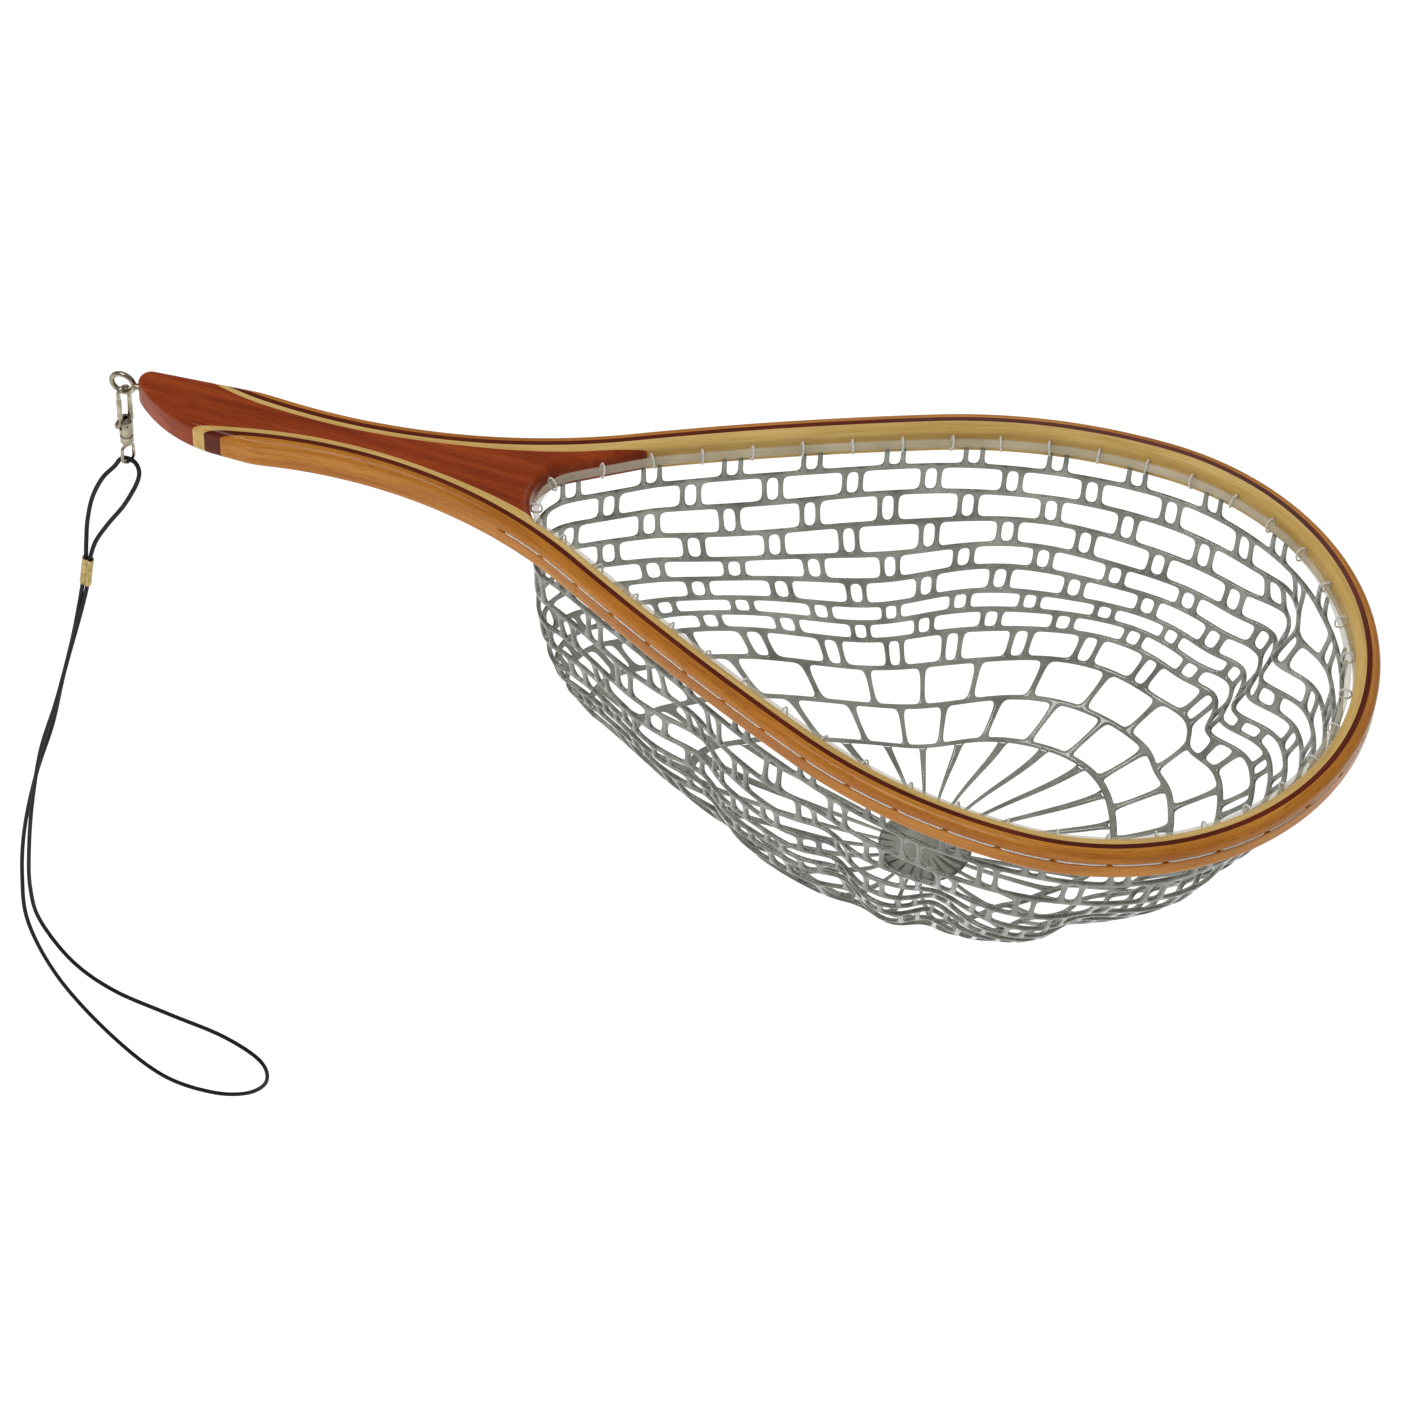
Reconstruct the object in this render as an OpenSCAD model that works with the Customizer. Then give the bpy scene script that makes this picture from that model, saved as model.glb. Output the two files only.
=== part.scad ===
// Landing net: laminated wooden hoop and handle, clear rubber net, trigger snap and wrist lanyard.
// X runs from the butt to the tip of the hoop, Z is up, and the origin is in the middle of the grip.
// Every strip of the frame is an offset of one chain of tangent arcs, so neighbours share a glue face.

/* [Frame] */
// Height of the wooden frame
frame_h = 16.5; // [15:0.5:18]
// Distance from the grip's middle to the middle strip's centreline at the tip
tip_x = 480; // [470:5:490]
// Radius of the round tip
tip_r = 123; // [121:1:125]
// Width of the pale inner strip
inner_w = 4.5; // [4:0.1:5]
// Width of the dark middle strip
middle_w = 2.4; // [2:0.1:3]
// Width of the amber outer strip
outer_w = 4; // [3.5:0.1:4.5]
// Radius of the throat at the end of the handle core
throat_r = 26; // [25.5:0.1:26.5]

/* [Lacing] */
// Number of lacing holes on each side of the tip
holes_per_side = 21; // [18:1:21]
// Distance between lacing holes along the hoop
hole_pitch = 23.3; // [22:0.1:23.3]
// Diameter of a lacing hole
hole_d = 1.6; // [1.5:0.1:1.8]
// Thickness of the lacing cord
lace_d = 1.1; // [1:0.1:1.3]
// Depth of the groove that the lacing lies in
groove_depth = 1; // [0.8:0.1:1.2]

/* [Net] */
// Depth of the net below its top band
net_depth = 159; // [140:1:180]
// Thickness of the rubber
rubber_w = 2.4; // [2:0.1:3]

/* [Screw eye and snap] */
// Radius of the screw eye's ring to the wire's centre
eye_r = 5.5; // [5.3:0.1:6]
// Diameter of the screw eye's wire
eye_wire = 2.6; // [2.4:0.1:2.8]
// Angle between the hook's plane and the long axis
snap_turn = 60; // [50:1:80]

/* [Lanyard] */
// Diameter of the elastic cord
cord_d = 2.2; // [2:0.1:2.4]
// Length of the brass ferrule
ferrule_len = 18.5; // [16:0.5:20]

/* [Hidden] */

// Arcs of one half of the frame from the tip: [radius, turn in degrees]; a negative turn is concave.
hoop_arcs = [[tip_r, 88.5], [248, 25], [1450, 5.5]];
far_arcs = concat(hoop_arcs, [[300, -33], [110, -25]]);
near_arcs = concat(hoop_arcs, [[226, -43.5], [576, -10.5]]);
frame_step = 10;
net_step = 10;

// Offsets from the middle strip's centreline, outward positive
middle_out = middle_w / 2;
outer_out = middle_out + outer_w;
inner_in = -middle_out - inner_w;
top_z = frame_h / 2;
overcut = 1;

// Butt: a small round nose that runs into the palm swell on the near side
swell_c = [-50, 40];
swell_r = 64;
nose_r = 6;
nose_a = 226;
nose_c = swell_c + (swell_r - nose_r) * [cos(nose_a), sin(nose_a)];
far_cut_y = 9.4;

// Throat: an arc that leaves the far side along a straight horn and ends on the near inner edge
throat_c = [123, -4];
throat_a0 = 126;
throat_a1 = 234;
far_horn_x = 136;
near_horn_x = 106.5;

// The pale strip thins along the handle between these stations
thin_x = [110, 45];
thin_by = 2.1;

// Lacing holes lie a little above mid-height; the last ones on each side open into the throat
hole_z = 1.5;
groove_w = 1.8;
lace_gap = 0.2;
first_hole = hole_pitch / 2;
lace_end = first_hole + (holes_per_side - 1) * hole_pitch;

// Net: the top band hangs just inside the hoop. The bag hangs full towards the butt's near side,
// narrows early towards the tip, and its base lies a little off the middle of the hoop.
fit_gap = 0.3;
band_w = 3;
band_h = 4;
band_out = inner_in - lace_d - 2 * lace_gap;
band_in = band_out - band_w;
wall_out = band_out - fit_gap;
wall_in = wall_out - rubber_w;
net_c = [290, 0];
net_steps = [0.15, 0.3, 0.45, 0.57, 0.68, 0.77, 0.85, 0.91, 0.96, 0.985];
base_shift = [6, -8];

// Screw eye and snap, measured from the centre of the eye's wire where the hook hangs
eye_y = -2;
nose_x = nose_c[0] - nose_r;
eye_c = [nose_x - eye_r - eye_wire / 2 - 1.5, eye_y, 0];
hang_p = eye_c - [0, 0, eye_r];
shank_r = 1.5;
shank_len = 18;
hook_r = 3;
bar_r = 1;
hook_c = -0.35;
tip_z = -3.4;
body_top = -17;
body_r = 3.4;
barrel_r = 3.2;
body_bottom = -32.5;
pivot = [-1.6, -20];
pin_r = 0.6;
pin_gap = 0.05;
lever_w = 1.8;
slot_w = 2.2;
spring_top = -21.65;
spring_bottom = -25.8;
spring_r = 0.72;
spring_wire_r = 0.16;
spring_turns = 5;
chamber_top = -27.9;
chamber_bottom = -30.2;
chamber_r = 2.2;
stem_r = 1.2;
stem_gap = 0.05;
link_r = 3.2;
link_wire_r = 0.85;
link_top = -37.8;
link_bottom = -42.8;

// Lanyard: the route starts in the ferrule, loops through the swivel ring, passes back down
// through the ferrule and round the wrist loop, and ends in the ferrule again.
ferrule_p = [-130, eye_y, -127];
ferrule_tilt = 8;
lobe = 1.25;
ferrule_r = 1.75;
cord_route = [
    [-132.6, -2, -136], [-131.2, -2, -126.5], [-130.2, -2, -115], [-128.6, -2, -100],
    [-125, -2, -83], [-119, -2, -68], [-112.2, -2, -57.5], [-108.6, -2, -51.2], [-105, -2, -49.5],
    [-101, -2, -51.5], [-99.6, -2, -57.5], [-102, -2, -67], [-109, -2, -83], [-117.5, -2, -98],
    [-125, -2, -113], [-128.9, -2, -126.5], [-130.2, -2, -136], [-131.5, -2, -146],
    [-137, -2, -170], [-145, -3.4, -203], [-154, -4, -240], [-165, -4, -280], [-173, -4, -325],
    [-178, -3.4, -365], [-181, -1, -400], [-178, 0.4, -428], [-161, 0, -455], [-138, 0, -470],
    [-106, -1, -475], [-74, -2, -479], [-53, -2, -491], [-50, -2, -508], [-62, -2, -524],
    [-84, -2, -533], [-112, -3, -529], [-141, -4, -504], [-168, -4, -468], [-183, -3.4, -428],
    [-185, -1, -392], [-181, 0, -352], [-171, 0, -305], [-159, 0, -262], [-151, 0, -225],
    [-142, -0.6, -186], [-134.2, -2, -147], [-132.9, -2, -137.5]];

// ---- Arc chain ----

// Point and heading [x, y, heading] after turning by t on an arc of radius r from p
function turn(p, r, t) = let (s = sign(t), h = p[2] + t)
    [p[0] - s * r * (sin(p[2]) - sin(h)), p[1] + s * r * (cos(p[2]) - cos(h)), h];

// Every station along a list of arcs, about one each step
function walk(p, arcs, step, i = 0) = i == len(arcs) ? [p] :
    let (r = arcs[i][0], t = arcs[i][1], n = ceil(r * abs(t) * PI / 180 / step))
    concat([for (k = [0 : n - 1]) turn(p, r, t * k / n)], walk(turn(p, r, t), arcs, step, i + 1));

// The station at arc length s
function station(p, arcs, s, i = 0) =
    let (r = arcs[i][0], t = arcs[i][1], l = r * abs(t) * PI / 180)
    s <= l || i == len(arcs) - 1 ? turn(p, r, sign(t) * s / r * 180 / PI)
                                 : station(turn(p, r, t), arcs, s - l, i + 1);

// The same arcs cut off at arc length s
function cut_arcs(arcs, s, i = 0) =
    let (r = arcs[i][0], t = arcs[i][1], l = r * abs(t) * PI / 180)
    s <= l || i == len(arcs) - 1 ? [[r, sign(t) * s / r * 180 / PI]]
                                 : concat([arcs[i]], cut_arcs(arcs, s - l, i + 1));

tip_start = [tip_x, 0, 90];
far_line = walk(tip_start, far_arcs, frame_step);
near_line = walk(tip_start, near_arcs, frame_step);

// The offset used at station x: the pale strip's inner face comes outward along the handle
function thinned(d, x) = let (f = max(0, min(1, (thin_x[0] - x) / (thin_x[0] - thin_x[1]))))
    d == inner_in ? d + thin_by * f * f * (3 - 2 * f) : d;

// A station list moved outward by d; side is 1 for the far half and -1 for the near half
function offset_line(line, d, side) =
    [for (p = line) let (e = thinned(d, p[0])) [p[0] + e * sin(p[2]), side * (p[1] - e * cos(p[2]))]];
function reversed(v) = [for (i = [len(v) - 1 : -1 : 0]) v[i]];
function without_first(v) = [for (i = [1 : len(v) - 1]) v[i]];

// Outline of a strip between two offsets, right round the tip
function strip_outline(far, near, d0, d1) = concat(
    reversed(offset_line(far, d1, 1)), without_first(offset_line(near, d1, -1)),
    reversed(offset_line(near, d0, -1)), without_first(offset_line(far, d0, 1)));

module strip(d0, d1) {
    intersection() {
        translate([0, 0, -top_z])
            linear_extrude(frame_h)
                polygon(strip_outline(far_line, near_line, d0, d1));
        butt_limit();
    }
}

// Everything inside the butt's outline, and all of the net beyond it
module butt_limit() {
    nose = [for (a = [96 : 13 : nose_a]) nose_c + nose_r * [cos(a), sin(a)]];
    swell = [for (a = [nose_a : 4 : 270]) swell_c + swell_r * [cos(a), sin(a)]];
    beyond = [[-20, swell_c[1] - swell_r], [-20, -200], [600, -200], [600, 200], [-20, 200],
              [-20, far_cut_y + 1], [-38, far_cut_y]];
    translate([0, 0, -frame_h])
        linear_extrude(2 * frame_h)
            polygon(concat(nose, swell, beyond));
}

// ---- Wooden frame ----

module handle_core() {
    beyond_horn = far_horn_x + 3 * frame_step;
    far_side = [for (p = offset_line(far_line, inner_in, 1)) if (p[0] < beyond_horn) p];
    near_side = [for (p = offset_line(near_line, inner_in, -1)) if (p[0] < beyond_horn) p];
    horn = 2 * beyond_horn * [sin(throat_a0), -cos(throat_a0)];
    color("sienna")
        difference() {
            intersection() {
                translate([0, 0, -top_z])
                    linear_extrude(frame_h)
                        polygon(concat(far_side, reversed(near_side)));
                butt_limit();
            }
            translate([0, 0, -frame_h])
                linear_extrude(2 * frame_h)
                    polygon(concat([throat_arc(throat_r, 3)[0] + horn], throat_arc(throat_r, 3),
                                   [[near_horn_x + 8, -200], [400, -200]]));
            hole_drill();
            // Pilot hole that the screw eye's shank fills
            translate([nose_x - overcut, eye_y, 0])
                rotate([0, 90, 0])
                    cylinder(r = shank_r, h = shank_len + overcut, $fn = 32);
        }
}

// Throat arc of radius r with a point each step
function throat_arc(r, step) =
    [for (a = [throat_a0 : step : throat_a1]) throat_c + r * [cos(a), sin(a)]];

// Every lacing hole: [point on the centreline, direction outward, depth inward, wall's direction]
function lacing_hole(side, i) =
    let (p = station(tip_start, side > 0 ? far_arcs : near_arcs, first_hole + i * hole_pitch),
         c = [p[0], side * p[1]], a = side * (p[2] - 90), n = [-cos(a), -sin(a)],
         m = [cos(throat_a0), sin(throat_a0)], w = c - throat_c, b = w * n)
    c[0] > (side > 0 ? far_horn_x : near_horn_x) ? [c, a, -inner_in, a] :
    c[0] > throat_c[0] - throat_r + 5
        ? [c, a, (throat_r - w * m) / (n * m), throat_a0]
        : let (t = -b - sqrt(b * b - w * w + throat_r * throat_r), q = w + t * n)
          [c, a, t, atan2(q[1], q[0])];
lacing_holes = [for (side = [1, -1]) for (i = [0 : holes_per_side - 1]) lacing_hole(side, i)];

// Cylinders of diameter d from each hole's inner end, lengthened by more, to the offset d1
module along_holes(d, more, d1) {
    for (h = lacing_holes)
        translate([h[0][0], h[0][1], hole_z])
            rotate([0, 0, h[1]])
                translate([-h[2] - more, 0, 0])
                    rotate([0, 90, 0])
                        cylinder(d = d, h = h[2] + more + d1, $fn = 16);
}

module hole_drill() {
    along_holes(hole_d, 2 * overcut, outer_out + overcut);
}

module inner_strip() {
    color("burlywood")
        difference() {
            strip(inner_in, -middle_out);
            hole_drill();
        }
}

module middle_strip() {
    color("saddlebrown")
        difference() {
            strip(-middle_out, middle_out);
            hole_drill();
        }
}

// A band of height h round the laced part of the hoop, between two offsets
module laced_ring(d0, d1, h) {
    far = walk(tip_start, cut_arcs(far_arcs, lace_end), frame_step);
    near = walk(tip_start, cut_arcs(near_arcs, lace_end), frame_step);
    translate([0, 0, hole_z - h / 2])
        linear_extrude(h)
            polygon(strip_outline(far, near, d0, d1));
}

module outer_strip() {
    color("peru")
        difference() {
            strip(middle_out, outer_out);
            hole_drill();
            laced_ring(outer_out - groove_depth, outer_out + overcut, groove_w);
        }
}

// ---- Lacing and net ----

module lacing_cord() {
    run_in = outer_out - groove_depth + lace_gap / 2;
    slot = [band_w + 2 * lace_gap, 2 * lace_d, band_h + 2 * lace_gap];
    color("ivory") {
        laced_ring(run_in, run_in + lace_d, lace_d);
        along_holes(lace_d, lace_gap + lace_d / 2, run_in + lace_d / 2);
        // A loop round the net's band at the inner end of each hole
        for (h = lacing_holes) {
            end = h[0] - h[2] * [cos(h[1]), sin(h[1])];
            translate([end[0], end[1], hole_z])
                rotate([0, 0, h[3]])
                    translate([-lace_gap - lace_d - slot[0] / 2, 0, 0])
                        difference() {
                            cube([slot[0] + 2 * lace_d, lace_d, slot[2] + 2 * lace_d], center = true);
                            cube(slot, center = true);
                        }
        }
    }
}

// Outline of the hoop's mouth at offset d: both halves to the horns, then round the throat
function mouth(d) =
    let (far = [for (p = walk(tip_start, far_arcs, net_step)) if (p[0] > far_horn_x) p],
         near = [for (p = walk(tip_start, near_arcs, net_step)) if (p[0] > near_horn_x) p])
    concat(offset_line(far, d, 1), throat_arc(throat_r + d - inner_in, 9),
           reversed(without_first(offset_line(near, d, -1))));

// One ring of the net: the mouth shrunk about the net's centre by the bag's profile at depth t
function bag_scale(t, a) = pow(1 - pow(t, 3.4 - 0.9 * cos(a) - 0.7 * sin(a) + 1.1 * sin(2 * a)), 0.6);
function net_ring(outline, t, z, lift = 0) =
    [for (p = outline) let (w = p - net_c, s = bag_scale(t, atan2(w[1], w[0])),
                            q = net_c + t * t * base_shift + s * w)
        [q[0], q[1], z + lift * (1 - s)]];

module rubber_net() {
    wall_top = hole_z - band_h / 2;
    floor_z = hole_z - net_depth;
    outer_rings = concat(
        [for (z = [hole_z + band_h / 2, wall_top]) net_ring(mouth(band_out), 0, z)],
        [for (t = net_steps) net_ring(mouth(wall_out), t, wall_top - t * (net_depth - band_h / 2))]);
    inner_rings = concat(
        [for (z = [hole_z + band_h / 2, wall_top]) net_ring(mouth(band_in), 0, z)],
        [for (t = net_steps) net_ring(mouth(wall_in), t, wall_top - t * (net_depth - band_h / 2),
                                      rubber_w)]);
    base = net_c + base_shift;
    rings = concat(reversed(outer_rings), inner_rings);
    n = len(rings[0]);
    last = len(rings) - 1;
    pts = concat([for (r = rings) for (p = r) p],
                 [[base[0], base[1], floor_z], [base[0], base[1], floor_z + rubber_w]]);
    faces = concat(
        [for (i = [0 : last - 1]) for (k = [0 : n - 1]) let (m = (k + 1) % n)
            each [[i * n + k, (i + 1) * n + k, i * n + m],
                  [i * n + m, (i + 1) * n + k, (i + 1) * n + m]]],
        [for (k = [0 : n - 1]) [k, (k + 1) % n, (last + 1) * n]],
        [for (k = [0 : n - 1]) [last * n + (k + 1) % n, last * n + k, (last + 1) * n + 1]]);
    color("lightgray", 0.7)
        polyhedron(pts, faces);
}

// ---- Screw eye ----

module screw_eye() {
    color("silver") {
        translate(eye_c)
            rotate([90, 0, 0])
                rotate_extrude($fn = 48)
                    translate([eye_r, 0])
                        circle(d = eye_wire, $fn = 24);
        translate([eye_c[0] + eye_r, eye_y, 0])
            rotate([0, 90, 0])
                cylinder(r = shank_r, h = nose_x + shank_len - eye_c[0] - eye_r, $fn = 32);
    }
}

// ---- Trigger snap ----

// Places a piece of the snap: its own X and Z span the hook's plane
module at_snap() {
    translate(hang_p)
        rotate([0, 0, snap_turn])
            children();
}

// A half ring in the XZ plane, opening downward when up is 1 and upward when it is -1
module half_ring(r, wire_r, up) {
    rotate([up * 90, 0, 0])
        rotate_extrude(angle = 180, $fn = 48)
            translate([r, 0])
                circle(r = wire_r, $fn = 20);
}

module rod(z0, z1, r) {
    translate([0, 0, z0])
        cylinder(r = r, h = z1 - z0, $fn = 28);
}

module snap_body() {
    color("silver")
        at_snap()
            difference() {
                union() {
                    translate([0, 0, hook_c])
                        half_ring(hook_r, bar_r, 1);
                    translate([-hook_r, 0, 0])
                        rod(tip_z, hook_c, bar_r);
                    translate([hook_r, 0, body_top - 2])
                        cylinder(r1 = 1.4, r2 = bar_r, h = hook_c - body_top + 2, $fn = 28);
                    rotate_extrude($fn = 48)
                        polygon([[0, body_top], [2.6, body_top], [body_r, body_top - 1.5],
                                 [body_r, -26], [2.7, -27], [2.7, -27.6], [barrel_r, -28.2],
                                 [barrel_r, body_bottom + 0.5], [2.7, body_bottom],
                                 [0, body_bottom]]);
                }
                // Slot for the lever, open to the left and upward
                translate([-8, -slot_w / 2, -23.2])
                    cube([9.2, slot_w, 8]);
                // Bores for the pivot pin, the spring and the swivel
                translate([pivot[0], 10, pivot[1]])
                    rotate([90, 0, 0])
                        cylinder(r = pin_r, h = 20, $fn = 24);
                rod(spring_bottom - 0.2, -22, 1);
                rod(chamber_bottom, chamber_top, chamber_r);
                rod(body_bottom - overcut, chamber_bottom + overcut, stem_r + stem_gap);
            }
}

module gate_lever() {
    arm = [[-2.1, -3.7], [-3.9, -3.7], [-3.9, -16.5], [-5.6, -18.6], [-5.9, -20.4], [-4.7, -21],
           [-3.4, -20.2], [-2.6, -21.1], [-0.7, -21.1], [0.7, -21.1], [0.9, -20.2], [-0.4, -18.2],
           [-2.1, -15]];
    color("silver")
        at_snap()
            difference() {
                translate([0, lever_w / 2, 0])
                    rotate([90, 0, 0])
                        linear_extrude(lever_w)
                            polygon(arm);
                translate([pivot[0], 2, pivot[1]])
                    rotate([90, 0, 0])
                        cylinder(r = pin_r + pin_gap, h = 4, $fn = 24);
            }
}

module gate_pin() {
    half_len = 2.7;
    color("dimgray")
        at_snap()
            translate([pivot[0], half_len, pivot[1]])
                rotate([90, 0, 0])
                    cylinder(r = pin_r, h = 2 * half_len, $fn = 24);
}

module swivel_ring() {
    color("silver")
        at_snap() {
            rod(chamber_bottom + 0.3, chamber_top - 0.3, chamber_r - 0.3);
            rod(link_top + link_r - 0.3, chamber_bottom + overcut, stem_r);
            rod(body_bottom - 1.4, body_bottom - fit_gap, 2.1);
            translate([0, 0, link_top])
                half_ring(link_r, link_wire_r, 1);
            translate([0, 0, link_bottom])
                half_ring(link_r, link_wire_r, -1);
            for (x = [-link_r, link_r])
                translate([x, 0, 0])
                    rod(link_bottom, link_top, link_wire_r);
        }
}

// ---- Swept tubes ----

// Points on a smooth curve through a route, k for each span
function smooth_at(a, b, c, d, u) = 0.5 * ((2 * b) + (c - a) * u
    + (2 * a - 5 * b + 4 * c - d) * u * u + (3 * b - a - 3 * c + d) * u * u * u);
function smooth(v, k) = let (n = len(v)) concat(
    [for (i = [0 : n - 2]) for (j = [0 : k - 1])
        smooth_at(v[max(i - 1, 0)], v[i], v[i + 1], v[min(i + 2, n - 1)], j / k)], [v[n - 1]]);

function unit(v) = v / norm(v);
function tangent(v, i) = unit(v[min(i + 1, len(v) - 1)] - v[max(i - 1, 0)]);

// A ring of s points round v[i]; side is a direction that the route never runs along
function tube_ring(v, i, r, s, side) =
    let (t = tangent(v, i), a = unit(cross(t, side)), b = cross(t, a))
    [for (k = [0 : s - 1]) v[i] + r * (cos(360 * k / s) * a + sin(360 * k / s) * b)];

module tube(v, r, s, side) {
    n = len(v);
    polyhedron(
        [for (i = [0 : n - 1]) each tube_ring(v, i, r, s, side)],
        concat([[for (k = [0 : s - 1]) k]],
               [for (i = [0 : n - 2]) for (k = [0 : s - 1]) let (m = (k + 1) % s)
                   each [[i * s + k, (i + 1) * s + k, i * s + m],
                         [i * s + m, (i + 1) * s + k, (i + 1) * s + m]]],
               [[for (k = [s - 1 : -1 : 0]) (n - 1) * s + k]]));
}

module gate_spring() {
    per_turn = 10;
    rings = spring_turns * per_turn;
    coil = [for (i = [0 : rings]) [spring_r * cos(360 * i / per_turn),
        spring_r * sin(360 * i / per_turn),
        spring_bottom + spring_wire_r + (spring_top - spring_bottom - 2 * spring_wire_r) * i / rings]];
    color("gray")
        at_snap()
            tube(coil, spring_wire_r, 6, [0, 0, 1]);
}

// ---- Lanyard ----

module lanyard_cord() {
    color("black")
        tube(smooth(cord_route, 2), cord_d / 2, 8, [0, 1, 0]);
}

module ferrule() {
    color("goldenrod")
        translate(ferrule_p)
            rotate([0, ferrule_tilt, 0])
                translate([0, 0, -ferrule_len])
                    difference() {
                        union() {
                            for (x = [-lobe, lobe])
                                translate([x, 0, 0])
                                    cylinder(r = ferrule_r, h = ferrule_len, $fn = 32);
                        }
                        for (x = [-lobe, lobe])
                            translate([x, 0, -overcut])
                                cylinder(d = cord_d, h = ferrule_len + 2 * overcut, $fn = 32);
                    }
}

handle_core();
inner_strip();
middle_strip();
outer_strip();
lacing_cord();
rubber_net();
screw_eye();
snap_body();
gate_lever();
gate_pin();
gate_spring();
swivel_ring();
lanyard_cord();
ferrule();
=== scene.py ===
"""Looks of the landing net: laminated wooden frame, laced clear rubber net, snap and wrist lanyard.

Dimensions are in millimetres in the CAD's frame and become metres when a mesh is made. The floor, the
lights and the camera are placed in metres.
"""

import math
import random

import bpy
import numpy as np
from mathutils import Matrix, Vector


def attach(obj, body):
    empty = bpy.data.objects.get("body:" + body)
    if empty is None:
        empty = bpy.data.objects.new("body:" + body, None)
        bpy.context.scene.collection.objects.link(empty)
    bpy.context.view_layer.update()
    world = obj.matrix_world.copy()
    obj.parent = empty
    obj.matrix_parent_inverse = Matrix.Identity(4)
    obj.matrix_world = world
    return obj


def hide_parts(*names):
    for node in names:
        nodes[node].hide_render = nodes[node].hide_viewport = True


MM = 0.001
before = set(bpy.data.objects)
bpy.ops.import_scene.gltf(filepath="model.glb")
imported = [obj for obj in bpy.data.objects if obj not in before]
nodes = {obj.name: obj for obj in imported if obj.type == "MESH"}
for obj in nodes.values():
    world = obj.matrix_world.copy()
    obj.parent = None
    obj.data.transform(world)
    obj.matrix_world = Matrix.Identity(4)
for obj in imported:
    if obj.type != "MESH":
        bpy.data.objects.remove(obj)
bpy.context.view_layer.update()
rng = random.Random(7)


def polar(degrees):
    """Unit vector of the plan at an angle."""
    return np.array([math.cos(math.radians(degrees)), math.sin(math.radians(degrees))])


def smooth_step(f):
    """Ease from 0 to 1."""
    return f * f * (3 - 2 * f)


# ---- The frame's plan, as in the CAD. Side 1 is the far half and -1 the near half ----

TIP_X = 480
# Arcs of one half from the tip: radius and turn in degrees
HOOP = [(123, 88.5), (248, 25), (1450, 5.5)]
FAR_ARCS = HOOP + [(300, -33), (110, -25)]
NEAR_ARCS = HOOP + [(226, -43.5), (576, -10.5)]

HALF_H = 8.25
# Edges of the strips, as offsets outward from the middle strip's centre line
OUTER_OUT = 5.2
MIDDLE_OUT = 1.2
INNER_IN = -5.7
# The pale strip thins along the handle, from x = 110 to x = 45
PALE_WIDTH = 4.5
THIN_FROM_X = 110
THIN_OVER = 65
THIN_BY = 2.1
# Radii of the rounded edges, outside and round the mouth, and how softly the outside ones meet
EDGE_R = 3.4
MOUTH_R = 3.4
CORNER_BLEND = 1.2

# The throat's cut: an arc, and a straight run from each of its ends
THROAT_C = np.array([123.0, -4.0])
THROAT_R = 26.0
THROAT_A0, THROAT_A1 = 126, 234
# Up to these x the mouth's edge is the throat's cut, and past them it is the inner strip
MOUTH_FROM_X = {1: 136, -1: 106.5}

# The butt's outline: the near side's swell, the round nose, and a straight run on each side
SWELL_C = np.array([-50.0, 40.0])
SWELL_R = 64.0
NOSE_R = 6.0
NOSE_A0, NOSE_A1 = 96, 226
NOSE_C = SWELL_C + (SWELL_R - NOSE_R) * polar(NOSE_A1)
FAR_P0 = NOSE_C + NOSE_R * polar(NOSE_A0)
FAR_P1 = np.array([-38.0, 9.4])
FAR_RUN = 18
NEAR_Y = -24.0
BUTT_END_X = -20
NO_EDGE = 1e3

# Lacing holes of one half, from the tip
HOLE_Z = 1.5
HOLE_PITCH = 23.3
HOLES = 21
LAST_HOLE = HOLE_PITCH / 2 + (HOLES - 1) * HOLE_PITCH


def chain(arcs):
    """Arc length, x, y and heading along a list of arcs, every half millimetre."""
    x, y, h = float(TIP_X), 0.0, math.pi / 2
    rows, s = [(0.0, x, y, h)], 0.0
    for r, turn in arcs:
        sign, total = math.copysign(1, turn), math.radians(abs(turn))
        n = math.ceil(r * total / 0.5)
        cx, cy = x - sign * r * math.sin(h), y + sign * r * math.cos(h)
        for k in range(1, n + 1):
            a = h + sign * total * k / n
            px, py = cx + sign * r * math.sin(a), cy - sign * r * math.cos(a)
            rows.append((s + r * total * k / n, px, py, a))
        s, x, y, h = rows[-1]
    return np.array(rows)


LINES = {1: chain(FAR_ARCS), -1: chain(NEAR_ARCS)}


def at(side, s, u):
    """Plan points at arc length s and offset u outward."""
    line = LINES[side]
    s = np.asarray(s, float)
    x, y, h = (np.interp(s, line[:, 0], line[:, k]) for k in (1, 2, 3))
    return np.stack([x + u * np.sin(h), side * (y - u * np.cos(h))], -1)


def thinned(side, s, u):
    """Offset u at arc length s; inside the dark strip it follows the pale strip's thinning."""
    if u >= -MIDDLE_OUT:
        return u
    x = np.interp(s, LINES[side][:, 0], LINES[side][:, 1])
    f = np.clip((THIN_FROM_X - x) / THIN_OVER, 0, 1)
    width = PALE_WIDTH - THIN_BY * smooth_step(f)
    return -MIDDLE_OUT + (u + MIDDLE_OUT) * width / PALE_WIDTH


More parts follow.
